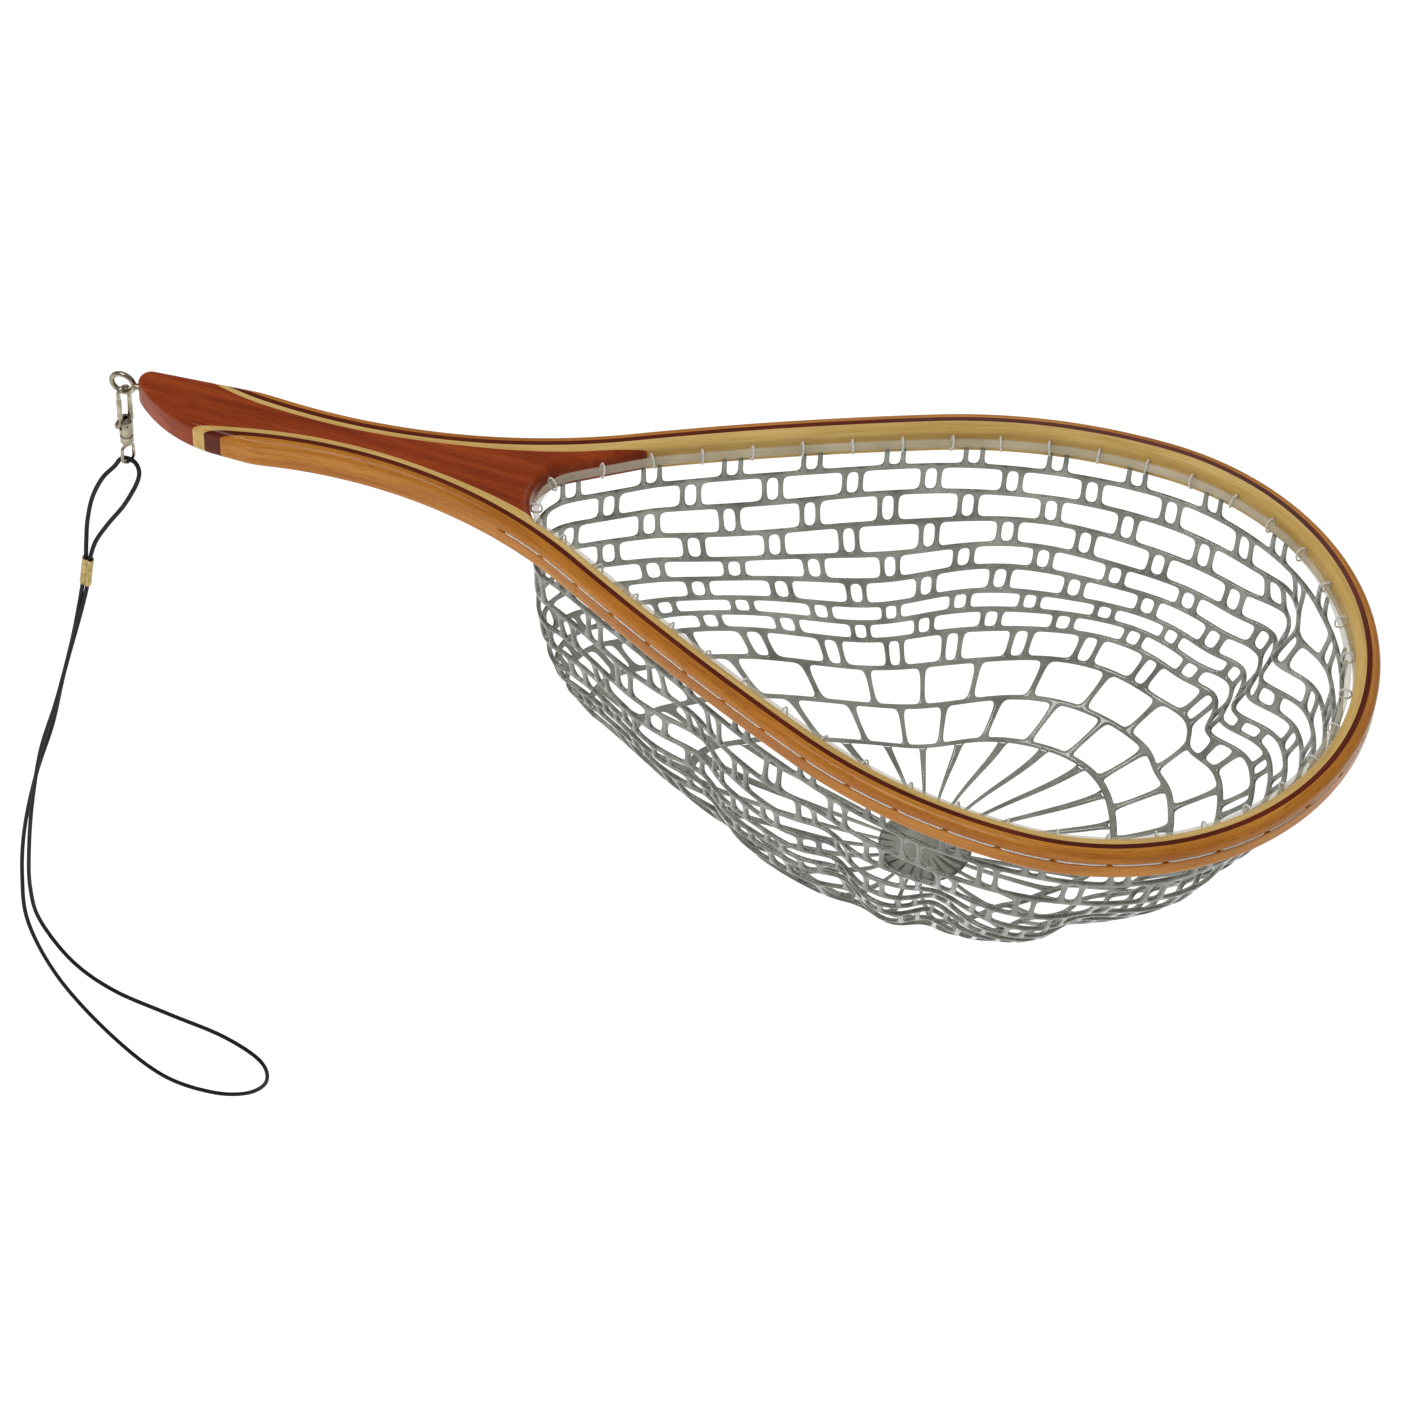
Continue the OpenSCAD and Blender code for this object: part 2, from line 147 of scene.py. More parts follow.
def butt_distance(p):
    """How far inside the butt's outline a plan point is; large beyond the butt."""
    p = np.asarray(p, float)
    x, y = p[..., 0], p[..., 1]
    swell = SWELL_R - np.hypot(x - SWELL_C[0], y - SWELL_C[1])
    near = np.where(x < SWELL_C[0], swell, y - NEAR_Y)
    along = (FAR_P1 - FAR_P0) / np.linalg.norm(FAR_P1 - FAR_P0)
    far = -((y - FAR_P0[1]) * along[0] - (x - FAR_P0[0]) * along[1])
    far = np.where(x > FAR_P1[0], FAR_P1[1] + (x - FAR_P1[0]) / FAR_RUN - y, far)
    q = p - NOSE_C
    angle = np.degrees(np.arctan2(q[..., 1], q[..., 0])) % 360
    on_nose = (angle > NOSE_A0) & (angle < NOSE_A1)
    nose = np.where(on_nose, NOSE_R - np.hypot(q[..., 0], q[..., 1]), NO_EDGE)
    low = np.minimum(np.minimum(near, far), nose)
    return np.where(x > BUTT_END_X, NO_EDGE, low)


def throat_distance(p):
    """How far outside the throat's cut a plan point is."""
    q = np.asarray(p, float) - THROAT_C
    angle = np.degrees(np.arctan2(q[..., 1], q[..., 0])) % 360
    runs = [q @ polar(a) for a in (THROAT_A0, THROAT_A1)]
    radial = np.hypot(q[..., 0], q[..., 1])
    on_arc = (angle >= THROAT_A0) & (angle <= THROAT_A1)
    return np.where(on_arc, radial, np.maximum(*runs)) - THROAT_R


def drop(d, r):
    """How far a rounded edge of radius r falls at distance d from the outline."""
    d = np.clip(d, 0, r)
    return r - np.sqrt(np.maximum(0, r * r - (r - d) ** 2))


def soft_min(a, b, k):
    """The smaller of a and b, blended where they are within k of each other."""
    h = np.clip(0.5 + 0.5 * (b - a) / k, 0, 1)
    return b * (1 - h) + a * h - k * h * (1 - h)


def top_of(p, outer, inner):
    """Half height of the frame at plan points with those distances to its outer and mouth edges."""
    butt = butt_distance(p)
    edge = np.maximum(soft_min(outer, butt, CORNER_BLEND), 0)
    edge = np.where(np.minimum(outer, butt) <= 1e-6, 0, edge)
    return HALF_H - drop(edge, EDGE_R) - drop(inner, MOUTH_R)


def edge_steps(r):
    """Distances from an outline that follow a rounded edge of radius r."""
    return [f * r for f in (0, 0.02, 0.08, 0.18, 0.32, 0.5, 0.72, 1)]


# ---- Mesh helpers ----

def make_object(name, verts, faces, body="frame", slot=None, material=None, grain=None, sharp=40):
    """A mesh in metres from millimetres, riding on a CAD body."""
    mesh = bpy.data.meshes.new(name)
    mesh.from_pydata([tuple(v) for v in np.asarray(verts, float) * MM], [], [tuple(f) for f in faces])
    mesh.validate()
    mesh.update()
    if grain is not None:
        attribute = mesh.attributes.new("grain", "FLOAT_VECTOR", "POINT")
        attribute.data.foreach_set("vector", np.asarray(grain, np.float32).ravel())
    mesh.shade_smooth()
    mesh.set_sharp_from_angle(angle=math.radians(sharp))
    obj = bpy.data.objects.new(name, mesh)
    bpy.context.scene.collection.objects.link(obj)
    if material:
        mesh.materials.append(material)
    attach(obj, body)
    return obj


def ring_faces(rings, sides, closed=False, flip=False):
    """Quads between rings of points; closed joins the last ring to the first, flip turns them over."""
    faces = []
    for i in range(rings if closed else rings - 1):
        a, b = i * sides, (i + 1) % rings * sides
        for k in range(sides):
            m = (k + 1) % sides
            faces.append((a + k, b + k, b + m, a + m) if flip else (a + k, a + m, b + m, b + k))
    return faces


def end_caps(rings, sides, flip=False):
    """Faces that close the first and the last ring."""
    first = tuple(range(sides))
    last = tuple(range((rings - 1) * sides, rings * sides))
    return [first, last[::-1]] if flip else [first[::-1], last]


def tube_mesh(path, radius, sides):
    """Vertices and faces of a tube along a path, closed at both ends."""
    tangents = np.gradient(path, axis=0)
    tangents /= np.linalg.norm(tangents, axis=1)[:, None]
    ref = np.array([0, 0, 1.0]) if abs(tangents[0][2]) < 0.9 else np.array([1.0, 0, 0])
    normal = np.cross(tangents[0], ref)
    normal /= np.linalg.norm(normal)
    angles = (np.arange(sides) * 2 * math.pi / sides)[:, None]
    rings = []
    for point, tangent in zip(path, tangents):
        normal = normal - tangent * (normal @ tangent)
        normal /= np.linalg.norm(normal)
        binormal = np.cross(tangent, normal)
        rings.append(point + radius * (np.cos(angles) * normal + np.sin(angles) * binormal))
    return np.concatenate(rings), ring_faces(len(path), sides) + end_caps(len(path), sides)


class Pile:
    """Several meshes gathered into one object."""

    def __init__(self):
        self.verts, self.faces, self.grain = [], [], []

    def add(self, verts, faces, grain=None):
        base = sum(len(v) for v in self.verts)
        self.verts.append(np.asarray(verts, float))
        self.faces += [tuple(i + base for i in f) for f in faces]
        if grain is not None:
            self.grain.append(np.asarray(grain, float))

    def make(self, name, **options):
        grain = np.concatenate(self.grain) if self.grain else None
        return make_object(name, np.concatenate(self.verts), self.faces, grain=grain, **options)


# ---- Material helpers ----

def new_material(name, color, roughness, **sockets):
    """A material with its node tree and its shader; the other sockets are given by name."""
    material = bpy.data.materials.new(name)
    material.use_nodes = True
    tree = material.node_tree
    shader = tree.nodes["Principled BSDF"]
    shader.inputs["Base Color"].default_value = (*color, 1)
    shader.inputs["Roughness"].default_value = roughness
    for key, value in sockets.items():
        shader.inputs[key.replace("_", " ")].default_value = value
    return material, tree, shader


def object_coords(tree):
    return tree.nodes.new("ShaderNodeTexCoord").outputs["Object"]


def ramp(tree, source, stops):
    """Colours looked up along a ramp of positions and colours."""
    node = tree.nodes.new("ShaderNodeValToRGB")
    while len(node.color_ramp.elements) < len(stops):
        node.color_ramp.elements.new(0.5)
    for element, (position, color) in zip(node.color_ramp.elements, stops):
        element.position = position
        element.color = (*color, 1)
    tree.links.new(source, node.inputs["Fac"])
    return node.outputs["Color"]


def noise(tree, vector, scale, detail, roughness, distortion=0.0, size=(1, 1, 1)):
    """Noise whose coordinates are stretched by size."""
    mapping = tree.nodes.new("ShaderNodeMapping")
    mapping.inputs["Scale"].default_value = size
    tree.links.new(vector, mapping.inputs["Vector"])
    node = tree.nodes.new("ShaderNodeTexNoise")
    node.inputs["Scale"].default_value = scale
    node.inputs["Detail"].default_value = detail
    node.inputs["Roughness"].default_value = roughness
    node.inputs["Distortion"].default_value = distortion
    tree.links.new(mapping.outputs["Vector"], node.inputs["Vector"])
    return node.outputs["Fac"]


def multiply(tree, factor, a, b):
    """Colour a darkened by colour b."""
    node = tree.nodes.new("ShaderNodeMix")
    node.data_type = "RGBA"
    node.blend_type = "MULTIPLY"
    # Of a colour mix, input 0 is the factor, 6 and 7 are the two colours, and output 2 is the result
    node.inputs[0].default_value = factor
    tree.links.new(a, node.inputs[6])
    tree.links.new(b, node.inputs[7])
    return node.outputs[2]


def bump(tree, shader, height, strength, distance):
    node = tree.nodes.new("ShaderNodeBump")
    node.inputs["Strength"].default_value = strength
    node.inputs["Distance"].default_value = distance
    tree.links.new(height, node.inputs["Height"])
    tree.links.new(node.outputs["Normal"], shader.inputs["Normal"])


def mottle(tree, socket, scale, detail, roughness, stops):
    """Drive a socket by noise in the object's coordinates, through a ramp."""
    cloud = noise(tree, object_coords(tree), scale, detail, roughness)
    tree.links.new(ramp(tree, cloud, stops), socket)


def fine_bumps(tree, shader, scale, detail, strength, distance):
    """Bump a surface by noise in the object's coordinates."""
    bump(tree, shader, noise(tree, object_coords(tree), scale, detail, 0.5), strength, distance)


# ---- Wood ----

def wood(name, light, mid, dark, streak, pore, pore_at):
    """Lacquered wood whose grain runs along the first axis of the grain attribute."""
    material, tree, shader = new_material(name, mid, 0.34, Coat_Weight=0.22, Coat_Roughness=0.06,
                                          Specular_IOR_Level=0.06)
    grain = tree.nodes.new("ShaderNodeAttribute")
    grain.attribute_name = "grain"
    vector = grain.outputs["Vector"]
    figure = noise(tree, vector, 1.0, 5, 0.6, 0.4, (0.012, 0.16, 0.16))
    base = ramp(tree, figure, [(0.3, dark), (0.5, mid), (0.7, light)])
    lines = noise(tree, vector, 1.0, 6, 0.7, 0.0, (0.03, 1.6, 1.6))
    streaks = ramp(tree, lines, [(0.35, streak), (0.6, (1, 1, 1))])
    color = multiply(tree, 0.75, base, streaks)
    pores = noise(tree, vector, 1.0, 2, 0.5, 0.0, (0.22, 3.2, 3.2))
    marks = ramp(tree, pores, [(pore_at, (1, 1, 1)), (pore_at + 0.07, pore)])
    color = multiply(tree, 0.8, color, marks)
    tree.links.new(color, shader.inputs["Base Color"])
    bump(tree, shader, lines, 0.08, 0.0002)
    return material


MAHOGANY = wood("mahogany", light=(0.44, 0.075, 0.012), mid=(0.34, 0.05, 0.007), dark=(0.24, 0.03, 0.004),
                streak=(0.72, 0.6, 0.55), pore=(0.45, 0.35, 0.3), pore_at=0.6)
PALE = wood("pale_wood", light=(0.80, 0.57, 0.21), mid=(0.70, 0.47, 0.15), dark=(0.58, 0.36, 0.10),
            streak=(0.82, 0.74, 0.62), pore=(0.7, 0.58, 0.45), pore_at=0.66)
DARK = wood("dark_wood", light=(0.17, 0.022, 0.003), mid=(0.12, 0.014, 0.002), dark=(0.08, 0.009, 0.001),
            streak=(0.7, 0.6, 0.55), pore=(0.5, 0.4, 0.35), pore_at=0.62)
AMBER = wood("amber_wood", light=(0.66, 0.29, 0.045), mid=(0.55, 0.21, 0.026), dark=(0.42, 0.14, 0.015),
             streak=(0.74, 0.62, 0.5), pore=(0.5, 0.36, 0.24), pore_at=0.6)

# ---- Rubber, twine and the holes' shade ----

RUBBER, tree, shader = new_material("clear_rubber", (0.30, 0.31, 0.27), 0.12, IOR=1.45,
                                    Transmission_Weight=0.6, Coat_Weight=0.5, Coat_Roughness=0.05)
mottle(tree, shader.inputs["Base Color"], 60, 4, 0.6, [(0.3, (0.16, 0.17, 0.14)), (0.7, (0.40, 0.42, 0.36))])
fine_bumps(tree, shader, 160, 2, 0.08, 0.0006)

CLEAR_BAND, tree, shader = new_material("clear_band", (0.62, 0.58, 0.44), 0.3, Alpha=0.42, Coat_Weight=0.3)
mottle(tree, shader.inputs["Base Color"], 40, 3, 0.55, [(0.3, (0.50, 0.47, 0.35)), (0.7, (0.74, 0.70, 0.56))])
fine_bumps(tree, shader, 160, 3, 0.1, 0.0004)

TWINE, tree, shader = new_material("white_twine", (0.78, 0.76, 0.70), 0.75, Sheen_Weight=0.3)
mottle(tree, shader.inputs["Base Color"], 900, 3, 0.6, [(0.3, (0.62, 0.59, 0.52)), (0.65, (0.86, 0.85, 0.8))])
fine_bumps(tree, shader, 2500, 2, 0.4, 0.0002)

# Painted shade for the lacing holes: a mottled near-black brown
HOLE_SHADE, tree, shader = new_material("hole_shadow", (0.05, 0.016, 0.006), 0.9)
mottle(tree, shader.inputs["Base Color"], 900, 2, 0.55,
       [(0.3, (0.03, 0.01, 0.004)), (0.7, (0.08, 0.028, 0.01))])

# ---- Metals and elastic ----

NICKEL, tree, shader = new_material("nickel", (0.42, 0.38, 0.29), 0.2, Metallic=1.0)
mottle(tree, shader.inputs["Base Color"], 220, 4, 0.6, [(0.3, (0.20, 0.17, 0.11)), (0.7, (0.52, 0.47, 0.36))])
mottle(tree, shader.inputs["Roughness"], 500, 4, 0.6, [(0.3, (0.14,) * 3), (0.75, (0.34,) * 3)])
fine_bumps(tree, shader, 400, 3, 0.08, 0.0003)

STEEL, tree, shader = new_material("spring_steel", (0.42, 0.41, 0.40), 0.3, Metallic=1.0)
mottle(tree, shader.inputs["Base Color"], 700, 3, 0.55, [(0.3, (0.3, 0.3, 0.29)), (0.7, (0.5, 0.49, 0.47))])

BRASS, tree, shader = new_material("brass", (0.44, 0.33, 0.12), 0.26, Metallic=1.0)
mottle(tree, shader.inputs["Base Color"], 300, 4, 0.6, [(0.3, (0.24, 0.18, 0.06)), (0.7, (0.56, 0.44, 0.18))])
mottle(tree, shader.inputs["Roughness"], 700, 3, 0.55, [(0.3, (0.2,) * 3), (0.75, (0.42,) * 3)])
fine_bumps(tree, shader, 500, 3, 0.15, 0.0003)

ELASTIC, tree, shader = new_material("elastic", (0.008, 0.008, 0.009), 0.6, Specular_IOR_Level=0.2)
mottle(tree, shader.inputs["Base Color"], 1200, 2, 0.55,
       [(0.35, (0.003, 0.003, 0.004)), (0.7, (0.014, 0.014, 0.015))])
fine_bumps(tree, shader, 1600, 2, 0.5, 0.0003)

# ---- Laminations ----

SECTIONS = 330
CUT_SECTIONS = 24
THROAT_FROM_S = 200
GROOVE_END = LAST_HOLE + 2
# Height and depth of the lacing groove's profile
GROOVE = [(HOLE_Z + 0.95, 0), (HOLE_Z + 0.85, 0.85), (HOLE_Z + 0.4, 1.0),
          (HOLE_Z - 0.4, 1.0), (HOLE_Z - 0.85, 0.85), (HOLE_Z - 0.95, 0)]


def strip_end(side, u):
    """Arc length at which the line at offset u leaves the butt's outline."""
    s = np.linspace(470, LINES[side][-1, 0], 1200)
    s = s[s > 560]
    d = butt_distance(at(side, s, thinned(side, s, u)))
    i = int(np.argmax(d < 0))
    return s[i - 1] + (s[i] - s[i - 1]) * d[i - 1] / (d[i - 1] - d[i])


def section_grid():
    """Fractions of a strip's half length, which crowd towards the butt, where the outline cuts it."""
    g = np.linspace(0, 1, SECTIONS)
    g = 1.25 * g - 0.25 * g ** 4
    g /= g[-1]
    start = g[-CUT_SECTIONS - 1]
    f = np.linspace(1 / CUT_SECTIONS, 1, CUT_SECTIONS)
    g[-CUT_SECTIONS:] = start + (1 - start) * (1 - (1 - f) ** 1.6)
    return g


def strip_offsets(u0, u1):
    """Offsets across a strip, with more of them where its edge is rounded."""
    offsets = {u0, u1} | set(np.linspace(u0, u1, 5))
    if u1 >= OUTER_OUT:
        offsets |= {u1 - d for d in edge_steps(EDGE_R) if u1 - d > u0}
    if u0 <= INNER_IN:
        offsets |= {u0 + d for d in edge_steps(MOUTH_R) if u0 + d < u1}
    return sorted(round(float(u), 4) for u in offsets)


def strip(name, u0, u1, material, slot, seed, groove=False):
    """One lamination right round the hoop, with the frame's rounded edges and its end at the butt."""
    offsets = strip_offsets(u0, u1)
    ends = {side: {u: strip_end(side, u) for u in offsets} for side in (1, -1)}

    def surface(side, g, u):
        """Arc length, plan point and half height at fraction g and offset u."""
        s = g * ends[side][u]
        p = at(side, s, thinned(side, s, u))
        inner = max(u - INNER_IN, float(throat_distance(p))) if s > THROAT_FROM_S else u - INNER_IN
        return s, p, float(top_of(p, OUTER_OUT - u, inner))

    def section(side, g):
        """A closed section and its grain: over the top, down outside, back underneath, up inside."""
        ring, grain = [], []

        def put(s, u, p, z, grain_z):
            ring.append((p[0], p[1], z))
            grain.append((side * s, u, grain_z))

        for u in offsets:
            s, p, z = surface(side, g, u)
            put(s, u, p, z, z)
        s, p, z = surface(side, g, u1)
        if groove:
            cut = 1.0 if s < GROOVE_END else 0.0
            for height, depth in GROOVE:
                u = u1 - depth * cut
                put(s, u, at(side, s, u), min(height, z - 0.2), height)
        else:
            for f in (0.5, 0, -0.5):
                put(s, u1, p, z * f, z * f)
        for u in reversed(offsets):
            s, p, z = surface(side, g, u)
            put(s, u, p, -z, -z)
        s, p, z = surface(side, g, u0)
        for f in (-0.5, 0, 0.5):
            put(s, u0, p, z * f, z * f)
        return ring, grain

    grid = section_grid()
    order = [(1, g) for g in grid[::-1]] + [(-1, g) for g in grid[1:]]
    rings, grains = zip(*(section(side, g) for side, g in order))
    sides = len(rings[0])
    verts = np.array(rings).reshape(-1, 3)
    grain = np.array(grains).reshape(-1, 3) + seed * np.array([1000, 37, 11])
    faces = ring_faces(len(rings), sides, flip=True) + end_caps(len(rings), sides, flip=True)
    return make_object(name, verts, faces, slot=slot, material=material, grain=grain, sharp=50)


inner = strip("inner_strip_wood", INNER_IN, -MIDDLE_OUT, PALE, "pale_wood", 1)
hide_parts("inner_strip")
middle = strip("middle_strip_wood", -MIDDLE_OUT, MIDDLE_OUT, DARK, "dark_wood", 2)
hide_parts("middle_strip")
outer = strip("outer_strip_wood", MIDDLE_OUT, OUTER_OUT, AMBER, "amber_wood", 3, groove=True)
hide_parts("outer_strip")

# ---- Handle core: the handle up to a seam, then the forked throat ----

SEAM_X = 76.0
HANDLE_ROWS = 150
ACROSS = 44
# Past these x a strip, and not the butt's outline, bounds the core
STRIP_FROM_X = {1: -80, -1: -75}
OUTSIDE = 99
# The angles where the seam's ends lie behind the throat's wall, and the rows in each part of the fork
SEAM_A0, SEAM_A1 = 145, 212
NEAR_ROWS = 16
SEAM_ROWS = 30
WALL_ROWS = 12
FORK_ROWS = 49
BACK_STEPS = 14


def butt_low(x):
    """The near side of the butt's outline at x."""
    nose_end = NOSE_C[0] + NOSE_R * polar(NOSE_A1)[0]
    if x < nose_end:
        return NOSE_C[1] - math.sqrt(max(0, NOSE_R ** 2 - (x - NOSE_C[0]) ** 2))
    if x < SWELL_C[0]:
        return SWELL_C[1] - math.sqrt(SWELL_R ** 2 - (x - SWELL_C[0]) ** 2)
    return NEAR_Y


def butt_high(x):
    """The far side of the butt's outline at x."""
    if x < FAR_P0[0]:
        return NOSE_C[1] + math.sqrt(max(0, NOSE_R ** 2 - (x - NOSE_C[0]) ** 2))
    return FAR_P0[1] + (x - FAR_P0[0]) * (FAR_P1[1] - FAR_P0[1]) / (FAR_P1[0] - FAR_P0[0])


def inner_edge(side):
    """Plan points of the pale strip's inner edge, from the butt."""
    s = np.linspace(420, LINES[side][-1, 0], 1500)
    return at(side, s, thinned(side, s, INNER_IN))[::-1]


EDGE = {side: inner_edge(side) for side in (1, -1)}


def edge_y(side, x):
    """Where the pale strip's inner edge is at x."""
    e = EDGE[side]
    return float(np.interp(x, e[:, 0], e[:, 1], left=OUTSIDE * side, right=e[-1, 1]))


def throat_wall(degrees):
    return THROAT_C + THROAT_R * polar(degrees)


def crossing(side, points):
    """Where a line of points first crosses the pale strip's inner edge."""
    for a, b in zip(points, points[1:]):
        past_a = side * (a[1] - edge_y(side, a[0]))
        past_b = side * (b[1] - edge_y(side, b[0]))
        if past_a < 0 <= past_b:
            return a + (b - a) * past_a / (past_a - past_b)
    return points[-1]


def handle_rows():
    """Rows of plan points across the handle, from the nose to the seam."""
    x0 = NOSE_C[0] - NOSE_R
    spread = 0.5 - 0.5 * np.cos(np.linspace(0, math.pi, ACROSS))
    rows = []
    for x in x0 + (SEAM_X - x0) * np.linspace(0, 1, HANDLE_ROWS) ** 1.7:
        low = max(butt_low(x), edge_y(-1, x) if x > STRIP_FROM_X[-1] else -OUTSIDE)
        high = min(butt_high(x) if x < BUTT_END_X else OUTSIDE,
                   edge_y(1, x) if x > STRIP_FROM_X[1] else OUTSIDE)
        rows.append([(x, low + (high - low) * k) for k in spread])
    return rows


def throat_rows():
    """Rows of plan points from the throat's wall back to the near strip, the seam or the far strip."""
    near_tip = crossing(-1, [throat_wall(a) for a in np.linspace(180, THROAT_A1, 400)])
    start = throat_wall(THROAT_A0)
    along = polar(THROAT_A0 - 90)
    far_tip = crossing(1, [start + along * d for d in np.linspace(0, 60, 600)])
    near_a = math.degrees(math.atan2(*(near_tip - THROAT_C)[::-1])) % 360

    walls = [throat_wall(a) for a in np.linspace(near_a, SEAM_A1, NEAR_ROWS)]
    near_xs = near_tip[0] + (SEAM_X - near_tip[0]) * np.linspace(0, 1, NEAR_ROWS)
    backs = [np.array([x, edge_y(-1, x)]) for x in near_xs]

    walls += [throat_wall(a) for a in np.linspace(SEAM_A1, SEAM_A0, SEAM_ROWS)[1:]]
    seam_ys = np.linspace(edge_y(-1, SEAM_X), edge_y(1, SEAM_X), SEAM_ROWS)[1:]
    backs += [np.array([SEAM_X, y]) for y in seam_ys]

    rest = [throat_wall(a) for a in np.linspace(SEAM_A0, THROAT_A0, WALL_ROWS)[1:]]
    rest += [start + (far_tip - start) * f for f in np.linspace(0, 1, FORK_ROWS)[1:]]
    lengths = np.cumsum([np.linalg.norm(b - a) for a, b in zip([walls[-1]] + rest, rest)])
    for f in lengths / lengths[-1]:
        x = SEAM_X + (far_tip[0] - SEAM_X) * f
        backs.append(np.array([x, edge_y(1, x)]))
    walls += rest

    rounded = np.array(edge_steps(1.0))
    rows = []
    for a, b in zip(walls, backs):
        length = max(np.linalg.norm(b - a), 1e-6)
        near = np.minimum(rounded * MOUTH_R * 1.1 / length, 0.9)
        far = near[-1] + (1 - near[-1]) * np.linspace(0, 1, BACK_STEPS)[1:]
        rows.append([tuple(a + (b - a) * k) for k in np.concatenate([near, far])])
    return rows


def core_point(p, z_sign):
    """A plan point raised to the core's top, or lowered to its underside."""
    z = float(top_of(np.array(p), float(OUTSIDE), float(throat_distance(p))))
    return (p[0], p[1], z * z_sign)


def core_block(grid, flip):
    """Top, underside and four sides over a grid of plan points; flip turns the faces over."""
    rows, cols = len(grid), len(grid[0])
    flat = [p for row in grid for p in row]
    under = len(flat)
    verts = [core_point(p, 1) for p in flat] + [core_point(p, -1) for p in flat]
    faces = []

    def quad(a, b, c, d, turned):
        faces.append((d, c, b, a) if turned else (a, b, c, d))

    for i in range(rows - 1):
        for k in range(cols - 1):
            a, b = i * cols + k, (i + 1) * cols + k
            quad(a, b, b + 1, a + 1, flip)
            quad(under + a + 1, under + b + 1, under + b, under + a, flip)
    for k in (0, cols - 1):
        for i in range(rows - 1):
            a, b = i * cols + k, (i + 1) * cols + k
            quad(a, under + a, under + b, b, (k == 0) == flip)
    for i in (0, rows - 1):
        for k in range(cols - 1):
            a, b = i * cols + k, i * cols + k + 1
            quad(b, under + b, under + a, a, (i == 0) == flip)
    return verts, faces


def handle_core():
    pile = Pile()
    for rows, flip in ((handle_rows(), False), (throat_rows(), True)):
        verts, faces = core_block(rows, flip)
        pile.add(verts, faces, verts)
    obj = pile.make("handle_core_wood", slot="mahogany", material=MAHOGANY, sharp=50)
    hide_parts("handle_core")


handle_core()

# ---- Net surface ----

NET_C = np.array([290.0, 0.0])
BASE_SHIFT = np.array([6.0, -8.0])
BAG_DEPTH = 157.0
BAND_GAP = 1.3
MOUTH_POINTS = 1200
SMOOTHINGS = 10
# Where the wall has drawn in to half, its plan begins to turn from the mouth's shape into a circle
ROUND_BELOW = 0.5
ROUND_OVER = 0.36
# The circle is 20 in radius at this scale, grows by 120 per unit above it and shrinks to nothing below
CIRCLE_AT = 0.16
CIRCLE_R = 20
CIRCLE_GROWTH = 120

# Place round the mouth, drift with depth, width, push inward, and the depths it spans
FOLDS = [
    (0.085, 0.03, 0.014, 15, 0.08, 0.85),
    (0.118, 0.02, 0.012, -7, 0.1, 0.8),
    (0.935, -0.02, 0.018, 12, 0.15, 0.9),
    (0.86, 0.02, 0.02, 9, 0.3, 0.95),
    (0.78, -0.02, 0.018, 12, 0.35, 0.95),
    (0.71, 0.03, 0.016, 9, 0.25, 0.9),
    (0.62, 0.02, 0.02, 8, 0.2, 0.9),
]


def bag_scale(t, a):
    """How far the bag's wall has drawn in at depth t in plan direction a, as in the CAD."""
    power = 3.4 - 0.9 * math.cos(a) - 0.7 * math.sin(a) + 1.1 * math.sin(2 * a)
    return max(0.0, 1 - t ** power) ** 0.6


def mouth_outline(d):
    """Closed outline of the hoop's mouth at offset d, from the tip round the far side, and its length."""
    def half(side):
        line = LINES[side]
        keep = line[line[:, 1] > MOUTH_FROM_X[side]][::4]
        return at(side, keep[:, 0], d)

    r = THROAT_R + d - INNER_IN
    arc = np.array([THROAT_C + r * polar(a) for a in np.arange(THROAT_A0, THROAT_A1 + 1, 3)])
    points = np.concatenate([half(1), arc, half(-1)[::-1][:-1]])
    closed = np.concatenate([points, points[:1]])
    steps = np.linalg.norm(np.diff(closed, axis=0), axis=1)
    s = np.concatenate([[0], np.cumsum(steps)])
    u = np.linspace(0, s[-1], MOUTH_POINTS + 1)[:-1]
    out = np.stack([np.interp(u, s, closed[:, k]) for k in (0, 1)], -1)
    for _ in range(SMOOTHINGS):
        out = 0.5 * out + 0.25 * (np.roll(out, 1, 0) + np.roll(out, -1, 0))
    return out, s[-1]


MOUTH, MOUTH_LEN = mouth_outline(INNER_IN - BAND_GAP - 1.6)


def mouth_at(phi):
    """The mouth's point at fraction phi round it."""
    k = (np.asarray(phi, float) % 1.0) * len(MOUTH)
    i = np.floor(k).astype(int)
    w = (k - i)[..., None]
    return MOUTH[i % len(MOUTH)] * (1 - w) + MOUTH[(i + 1) % len(MOUTH)] * w


def fold(phi, t):
    """Inward push of the bag: creases, mostly near the tip, and a soft unevenness all round."""
    push = 0.0
    for place, lean, width, amount, t0, t1 in FOLDS:
        centre = place + lean * (t - 0.4)
        d = (phi - centre + 0.5) % 1.0 - 0.5
        fade = np.clip((t - t0) / 0.2, 0, 1) * np.clip((t1 - t) / 0.2, 0, 1)
        push += amount * math.exp(-(d / width) ** 2) * fade
    wave = 1.6 * math.sin(2 * math.pi * (5 * phi + 0.9 * t))
    wave += 1.2 * math.sin(2 * math.pi * (9 * phi - 1.7 * t) + 1)
    return push + wave * min(1.0, 2.2 * t)


